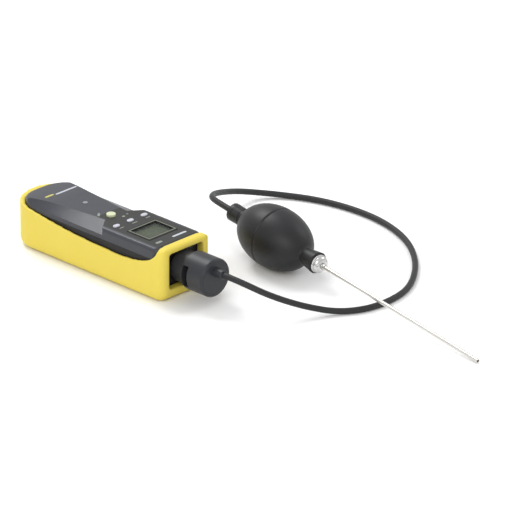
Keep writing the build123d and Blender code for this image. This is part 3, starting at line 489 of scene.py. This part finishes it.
def printed_frame(name):
    """Dark frame with a pale printed line just outside its window, by distance from it."""
    material, shader, paint = start_finish(name, Specular_IOR_Level=0.25)
    place = place_on(paint)
    across_x = paint.node("ShaderNodeSeparateXYZ", {}, {"Vector": place}, out=0)
    across_y = paint.node("ShaderNodeSeparateXYZ", {}, {"Vector": place}, out=1)
    beyond_x = (across_x - display_centre.x).size() - window_half_x
    beyond_y = (across_y - display_centre.y).size() - window_half_y
    margin = beyond_x.most(beyond_y)
    line = margin.below(line_end, 0.0002) - margin.below(line_start, 0.0002)
    grime = cloud(paint, place, 0.002, 5.0, 0.7)
    dark = blend(paint, grime * 0.5, (0.015, 0.0165, 0.0145, 1), (0.026, 0.028, 0.024, 1))
    feed(shader, "Base Color", blend(paint, line * (0.7 + grime * 0.2), dark, (0.24, 0.26, 0.19, 1)))
    feed(shader, "Roughness", 0.42 + grime * 0.15)
    feed(shader, "Normal", relief(paint, grime, 0.00002))
    return material


dress("display_bezel", printed_frame("bezel_print"))

# ------------------------------------------------------------------ front case
# Grained dark grey shell, moulded in engineering plastic and screwed down on to the rear case. Its
# head carries a darker, smoother printed label round the keys and the display, and plain bars and
# dots of screen ink lie on its face. The slanted grey dash behind the power button is a painted
# highlight along the label's edge, in the same grey ink.
case_low, case_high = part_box("front_case")
face_height = case_high[2]
fall_run = 0.048
fall_start = case_low[0] + fall_run
fall_drop = 0.004
fall_radius = (fall_run**2 + fall_drop**2) / (2 * fall_drop)
label_centre_x = 0.0465
label_half_x, label_half_y = 0.0475, 0.0255
label_depth = 0.0003
face_grain = 1 / 1700


def face_at(x):
    """Height of the face above the table: level, then an arc that falls towards the far end."""
    back = np.clip(fall_start - x, 0.0, None)
    return face_height - (fall_radius - np.sqrt(fall_radius**2 - back**2))


def case_shell(name):
    """Grained shell with a darker label on its head, marked out as a rectangle on the face."""
    material, shader, paint = start_finish(name, Specular_IOR_Level=0.35)
    place = place_on(paint)
    x = paint.node("ShaderNodeSeparateXYZ", {}, {"Vector": place}, out=0)
    y = paint.node("ShaderNodeSeparateXYZ", {}, {"Vector": place}, out=1)
    z = paint.node("ShaderNodeSeparateXYZ", {}, {"Vector": place}, out=2)
    beyond = ((x - label_centre_x).size() - label_half_x).most(y.size() - label_half_y)
    label = beyond.below(0.0, 0.0004) * (1.0 - z.below(face_height - label_depth, 0.0001))
    pits = mould_pits(paint, place, face_grain)
    wear = cloud(paint, place, 0.02, 4.0)
    scuff = cloud(paint, place, 0.0025, 5.0, 0.7)
    rubbed = wear * 0.6 + scuff * 0.3 - 0.1
    shell = blend(paint, rubbed, (0.036, 0.038, 0.048, 1), (0.052, 0.055, 0.066, 1))
    print_dark = blend(paint, scuff * 0.6, (0.015, 0.0165, 0.0145, 1), (0.026, 0.028, 0.024, 1))
    feed(shader, "Base Color", blend(paint, label, shell, print_dark))
    feed(shader, "Roughness", 0.44 - wear * 0.08 - scuff * 0.05 + label * 0.08)
    feed(shader, "Normal", relief(paint, pits * (1.0 - label * 0.7), 0.00004))
    return material


dress("front_case", case_shell("case_plastic"))


mark_lift = 0.00014


def lattice(name, points, ends_closed):
    """A mesh from a grid of points that closes round its second direction. Its first direction
    either ends in two caps or closes on itself as well."""
    rings, around = points.shape[:2]
    index = np.arange(rings * around).reshape(rings, around)
    rows = index[:-1] if ends_closed else index
    ahead = index[1:] if ends_closed else np.roll(index, -1, axis=0)
    quads = np.stack([rows, np.roll(rows, -1, axis=1), np.roll(ahead, -1, axis=1), ahead], axis=-1)
    faces = quads.reshape(-1, 4).tolist()
    if ends_closed:
        faces += [index[0].tolist()[::-1], index[-1].tolist()]
    mesh = bpy.data.meshes.new(name)
    mesh.from_pydata(points.reshape(-1, 3).tolist(), [], faces)
    mesh.polygons.foreach_set("use_smooth", [True] * len(mesh.polygons))
    piece = bpy.data.objects.new(name, mesh)
    bpy.context.scene.collection.objects.link(piece)
    return piece


def printed_pad(name, centre, length, width, squareness, turn):
    """A thin raised mark on the face. Angle and distance from its middle give each point: the
    outline is a superellipse, and the height is the face's own plus a lift that closes at the rim
    and goes on below the face."""
    angle = np.linspace(0, 2 * np.pi, 48, endpoint=False)
    reach = np.array([0.02, 0.4, 0.8, 0.96, 1.0, 0.96, 0.5, 0.02])
    rise = np.array([1.0, 1.0, 1.0, 0.9, 0.4, -0.4, -0.4, -0.4])
    cos, sin = np.cos(angle), np.sin(angle)
    outline = (np.abs(cos) ** squareness + np.abs(sin) ** squareness) ** (-1 / squareness)
    u = np.outer(reach, outline * cos) * length / 2
    v = np.outer(reach, outline * sin) * width / 2
    x = centre[0] + u * math.cos(turn) - v * math.sin(turn)
    y = centre[1] + u * math.sin(turn) + v * math.cos(turn)
    z = face_at(x) + rise[:, None] * mark_lift
    return lattice(name, np.stack([x, y, z], axis=-1), ends_closed=True)


def print_ink(name, colour, worn):
    """Screen ink, slightly glossy, with tiny bare specks."""
    material, shader, paint = start_finish(name)
    place = place_on(paint)
    specks = cloud(paint, place, 0.0009, 4.0, 0.7)
    feed(shader, "Base Color", blend(paint, specks * 0.6, colour, worn))
    feed(shader, "Roughness", 0.35 + specks * 0.2)
    feed(shader, "Normal", relief(paint, specks, 0.00001))
    return material


white_ink = print_ink("white_ink", (0.52, 0.55, 0.60, 1), (0.34, 0.36, 0.40, 1))
yellow_ink = print_ink("yellow_ink", (0.55, 0.50, 0.10, 1), (0.38, 0.36, 0.12, 1))
# The grey ink also paints a highlight: the slanted dash behind the power button.
grey_ink_and_highlight = print_ink("grey_ink_and_highlight", (0.26, 0.28, 0.25, 1), (0.16, 0.17, 0.15, 1))
marks = [
    ("handle_bar_white", (-0.0680, 0.0085), 0.0028, 0.028, 6.0, 0.0, white_ink),
    ("handle_bar_yellow", (-0.0700, -0.0120), 0.0030, 0.011, 6.0, 0.0, yellow_ink),
    ("end_bar_white", (0.0838, 0.0112), 0.0028, 0.0185, 6.0, 0.0, white_ink),
    ("end_bar_grey", (0.0838, -0.0160), 0.0034, 0.0080, 6.0, 0.0, grey_ink_and_highlight),
    # Painted highlight: this pale slanted dash stands for light along the label's edge.
    ("painted_edge_highlight", (-0.0030, -0.0110), 0.0024, 0.0075, 3.0, 0.75, grey_ink_and_highlight),
    ("light_mark", (0.0165, 0.0030), 0.0030, 0.0034, 2.0, 0.0, grey_ink_and_highlight),
    ("light_mark_small", (0.0150, 0.0095), 0.0020, 0.0020, 2.0, 0.0, grey_ink_and_highlight),
    ("hold_mark", (0.0345, -0.0170), 0.0012, 0.0060, 4.0, 0.0, grey_ink_and_highlight),
    ("backlight_mark", (0.0345, 0.0005), 0.0012, 0.0070, 4.0, 0.0, grey_ink_and_highlight),
    ("peak_mark", (0.0345, 0.0180), 0.0012, 0.0060, 4.0, 0.0, grey_ink_and_highlight),
]
for mark_name, centre, length, width, squareness, turn, ink in marks:
    mark = printed_pad(mark_name, centre, length, width, squareness, turn)
    mark.data.materials.append(ink)
    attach(mark, "meter")


# ------------------------------------------------------------------ buttons and alarm lamp
# Hard caps that slide down in the face, held up by the silicone sheet: one pale yellow-green
# power button, and three small keys in silver paint. The lamp is a milky light guide.
def painted_key(name, colour, rubbed):
    """Painted cap: satin lacquer that fingers have dulled in the middle and thinned at spots."""
    material, shader, paint = start_finish(name, Coat_Weight=0.5, Coat_Roughness=0.25)
    place = place_on(paint)
    touch = cloud(paint, place, 0.004, 3.0)
    flake = cloud(paint, place, 0.0005, 4.0, 0.7)
    feed(shader, "Base Color", blend(paint, touch * 0.5 + flake * 0.3, colour, rubbed))
    feed(shader, "Roughness", 0.28 + touch * 0.2)
    feed(shader, "Normal", relief(paint, flake, 0.00001))
    return material


silver_paint = painted_key("key_silver", (0.56, 0.56, 0.63, 1), (0.42, 0.42, 0.48, 1))
for key in ("hold_button", "backlight_button", "peak_button"):
    dress(key, silver_paint)
dress("power_button", painted_key("key_yellow", (0.62, 0.66, 0.42, 1), (0.50, 0.53, 0.33, 1)))
dress("led_lens", painted_key("lamp_lens", (0.22, 0.23, 0.25, 1), (0.15, 0.16, 0.17, 1)))

# ------------------------------------------------------------------ sensor nose
# Dark moulded spigot, fixed in the rear case's end wall, that holds the plated sensor can behind a
# sintered metal grille. An O-ring in its groove grips the sampling cap.
nose_dark, nose_worn = (0.010, 0.010, 0.011, 1), (0.018, 0.018, 0.02, 1)
dress("sensor_nose", moulded_plastic("nose_plastic", nose_dark, nose_worn, 0.5))
can_bright, can_dull = (0.66, 0.66, 0.66, 1), (0.5, 0.5, 0.5, 1)
dress("sensor_cell", turned_metal("sensor_metal", can_bright, can_dull, 0.3, ring=0.0006))
grille_grey, grille_dark = (0.40, 0.39, 0.37, 1), (0.25, 0.24, 0.23, 1)
grille_metal = turned_metal(
    "grille_metal", grille_grey, grille_dark, 0.55, ring=0.0002, depth=0.0001
)
dress("sensor_grille", grille_metal)

# ------------------------------------------------------------------ sampling cap
# Dense dark grey rubber cup, moulded thick, that pushes over the nose and stays by its grip. A
# hard plastic nipple for the hose is pressed into its front wall.
cap_dark, cap_dusty = (0.022, 0.023, 0.027, 1), (0.038, 0.040, 0.046, 1)
cap_rubber = moulded_rubber("cap_rubber", cap_dark, cap_dusty, 0.42, grain=0.0009, depth=0.00004)
dress("sampling_cap", cap_rubber)
nipple_dark, nipple_worn = (0.022, 0.023, 0.026, 1), (0.05, 0.052, 0.058, 1)
dress("hose_nipple", moulded_plastic("nipple_plastic", nipple_dark, nipple_worn, 0.4))

# ------------------------------------------------------------------ aspirator bulb
# Hollow squeeze bulb in black moulded rubber. A fine joint line runs round its middle, and its two
# necks grip the valves.
side = stem.cross(Vector((0, 0, 1))).normalized()
upward = side.cross(stem)


def turned_on_stem(name, along, radius, sectors=112):
    """A turned piece. Each point is the bulb's centre, plus its distance along the stem line, plus
    its radius times a direction that goes once round that line. The profile closes on itself."""
    angle = np.linspace(0, 2 * np.pi, sectors, endpoint=False)
    spoke = np.outer(np.cos(angle), side) + np.outer(np.sin(angle), upward)
    axis = np.array(bulb_centre) + np.outer(along, stem)
    points = axis[:, None, :] + radius[:, None, None] * spoke[None, :, :]
    return lattice(name, points[::-1], ends_closed=False)


bulb_radius = 0.030
bulb_half_length = 0.045
bulb_wall = 0.0026
neck_radius = 0.0085
neck_flare = 0.0022
neck_bore = 0.00545
neck_back = -0.0479
inlet_waist = 0.046
inlet_face = 0.0615
trim = 0.0001
neck_front = inlet_face - trim
seam_place = 0.0005
seam_depth = 0.00085
seam_width = 0.0010
neck_blend = 0.0011


def bulb_outside(along):
    """Outer radius: the softened greater of an ellipse and the neck, less a groove at the joint."""
    ellipse = bulb_radius * np.sqrt(np.clip(1 - (along / bulb_half_length) ** 2, 0, None))
    flare = np.clip((along - inlet_waist) / (inlet_face - inlet_waist), 0, 1)
    neck = np.where(along < 0, neck_radius, neck_radius + neck_flare * flare)
    excess = np.clip((ellipse - neck) / neck_blend, -40, 40)
    joined = neck + neck_blend * np.log1p(np.exp(excess))
    groove = seam_depth * np.exp(-(((along - seam_place) / seam_width) ** 2))
    return np.minimum(joined, bulb_radius) - groove


outer_along = np.unique(
    np.concatenate(
        [
            np.linspace(neck_back, -bulb_half_length - trim, 8),
            bulb_half_length * np.cos(np.linspace(np.pi, 0, 90)),
            np.linspace(bulb_half_length + 2 * trim, neck_front, 16),
            np.linspace(seam_place - 3.5 * seam_width, seam_place + 3.5 * seam_width, 29),
        ]
    )
)
inner_swing = np.linspace(0.2, np.pi - 0.2, 40)
inner_along = (bulb_half_length - bulb_wall) * np.cos(inner_swing)
inner_radius = (bulb_radius - bulb_wall) * np.sin(inner_swing)
bulb = turned_on_stem(
    "squeeze_bulb",
    np.concatenate([outer_along, [neck_front], inner_along, [neck_back]]),
    np.concatenate([bulb_outside(outer_along), [neck_bore], inner_radius, [neck_bore]]),
)
bulb_black, bulb_dusty = (0.0085, 0.0085, 0.0095, 1), (0.018, 0.019, 0.021, 1)
bulb_rubber = moulded_rubber(
    "bulb_rubber", bulb_black, bulb_dusty, 0.45, grain=0.0008, depth=0.00004, gloss=0.35
)
bulb.data.materials.append(bulb_rubber)
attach(bulb, "sampling_kit")
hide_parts("aspirator_bulb")

# ------------------------------------------------------------------ outlet valve
# Dark moulded collar with shallow grip rings, whose spigot is pressed into the bulb's rear neck.
# Its end piece tapers to the hose, and a loose red rubber disc inside lets air out only.
valve_dark, valve_worn = (0.014, 0.014, 0.015, 1), (0.030, 0.031, 0.033, 1)
valve_plastic = moulded_plastic("valve_plastic", valve_dark, valve_worn, 0.42)
collar_back, collar_front = -0.0579, -0.0481
collar_radius = 0.0089
ring_count = 5
ring_depth = 0.00035
spigot_radius = 0.0054
outlet_spigot_end = -0.0392
outlet_bore = 0.0026
outlet_chamber_radius = 0.0062
outlet_chamber_end = -0.0499
collar_along = np.linspace(collar_back, collar_front, 60)
ring_turns = (collar_along - collar_back) / (collar_front - collar_back) * ring_count
collar_outside = collar_radius - ring_depth * np.clip(np.sin(ring_turns * 2 * np.pi), 0, 1)
collar_inside = np.array(
    [
        (collar_front, spigot_radius),
        (outlet_spigot_end, spigot_radius),
        (outlet_spigot_end, outlet_bore),
        (outlet_chamber_end, outlet_bore),
        (outlet_chamber_end, outlet_chamber_radius),
        (collar_back, outlet_chamber_radius),
    ]
)
collar = turned_on_stem(
    "outlet_collar",
    np.concatenate([collar_along, collar_inside[:, 0]]),
    np.concatenate([collar_outside, collar_inside[:, 1]]),
)
collar.data.materials.append(valve_plastic)
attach(collar, "sampling_kit")
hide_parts("outlet_valve_body")
dress("outlet_retainer", valve_plastic)
dress("inlet_retainer", valve_plastic)
disc_rubber = moulded_rubber("valve_disc", (0.12, 0.04, 0.03, 1), (0.2, 0.08, 0.06, 1), 0.5)
dress("outlet_valve_disc", disc_rubber)
dress("inlet_valve_disc", disc_rubber)

# ------------------------------------------------------------------ inlet fitting and probe
# Nickel-plated turned fitting whose spigot is pressed into the bulb's front neck. Its ferrule holds
# a bright drawn stainless tube, which is swaged down there and ends in a dark sintered plug.
plate_bright, plate_dull = (0.66, 0.66, 0.65, 1), (0.54, 0.54, 0.53, 1)
chrome = turned_metal("fitting_chrome", plate_bright, plate_dull, 0.14, ring=0.0012)
fitting_front = 0.0695
flange_radius = 0.0091
flange_front = 0.0633
groove_radius = 0.0074
groove_start, groove_end = 0.0638, 0.0646
dome_start = 0.0650
dome_low, dome_rise = 0.0034, 0.0052
inlet_spigot_end = 0.0455
inlet_chamber_radius = 0.0037
inlet_chamber_end = 0.0576
probe_socket_radius = 0.0018
probe_socket_end = 0.0636
inlet_bore = 0.0012
corner_bevel = 0.00006


def crisp(profile, bevel):
    """A closed profile whose every corner becomes two points, each a bevel's length from it."""
    before = np.roll(profile, 1, axis=0) - profile
    after = np.roll(profile, -1, axis=0) - profile
    first = profile + before * bevel / np.linalg.norm(before, axis=1, keepdims=True)
    second = profile + after * bevel / np.linalg.norm(after, axis=1, keepdims=True)
    return np.stack([first, second], axis=1).reshape(-1, 2)


dome_swing = np.linspace(0, np.pi / 2, 16)
dome_along = dome_start + (fitting_front - trim - dome_start) * np.sin(dome_swing)
dome_radius = dome_low + dome_rise * np.cos(dome_swing)
fitting_profile = np.array(
    [
        (inlet_spigot_end, inlet_chamber_radius),
        (inlet_spigot_end, spigot_radius),
        (inlet_face + trim, spigot_radius),
        (inlet_face + trim, flange_radius),
        (flange_front, flange_radius),
        (groove_start, groove_radius),
        (groove_end, groove_radius),
        *zip(dome_along, dome_radius),
        (fitting_front - trim, probe_socket_radius),
        (probe_socket_end, probe_socket_radius),
        (probe_socket_end, inlet_bore),
        (inlet_chamber_end, inlet_bore),
        (inlet_chamber_end, inlet_chamber_radius),
    ]
)
crisp_profile = crisp(fitting_profile, corner_bevel)
fitting = turned_on_stem("plated_fitting", crisp_profile[:, 0], crisp_profile[:, 1])
fitting.data.materials.append(chrome)
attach(fitting, "sampling_kit")
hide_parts("inlet_valve_body")
dress("probe_ferrule", chrome)


def drawn_tube(name):
    """Bright drawn tube: streaks that run along the stem, and a faint brown heat tint in patches."""
    material, shader, paint = start_finish(name, Metallic=1.0)
    place = place_on(paint)
    turn = (-stem).to_track_quat("-X", "Z").inverted().to_euler()
    stretched = {"Vector": place, "Rotation": tuple(turn), "Scale": (0.02, 1, 1)}
    lengthwise = paint.node("ShaderNodeMapping", {"vector_type": "POINT"}, stretched)
    fine = {"Vector": lengthwise, "Scale": 1800.0, "Detail": 3.0}
    streaks = paint.node("ShaderNodeTexNoise", {}, fine)
    stain = cloud(paint, place, 0.018, 4.0)
    steel = blend(paint, streaks, (0.78, 0.77, 0.74, 1), (0.66, 0.65, 0.62, 1))
    feed(shader, "Base Color", blend(paint, stain * 0.45, steel, (0.62, 0.58, 0.50, 1)))
    feed(shader, "Roughness", 0.20 + streaks * 0.12 + stain * 0.08)
    feed(shader, "Normal", relief(paint, streaks, 0.000008))
    return material


dress("probe_tube", drawn_tube("probe_steel"))
plug_dark, plug_worn = (0.008, 0.008, 0.008, 1), (0.02, 0.02, 0.02, 1)
sintered_plug = moulded_plastic(
    "filter_metal", plug_dark, plug_worn, 0.8, grain=0.0003, depth=0.0001
)
dress("probe_filter", sintered_plug)
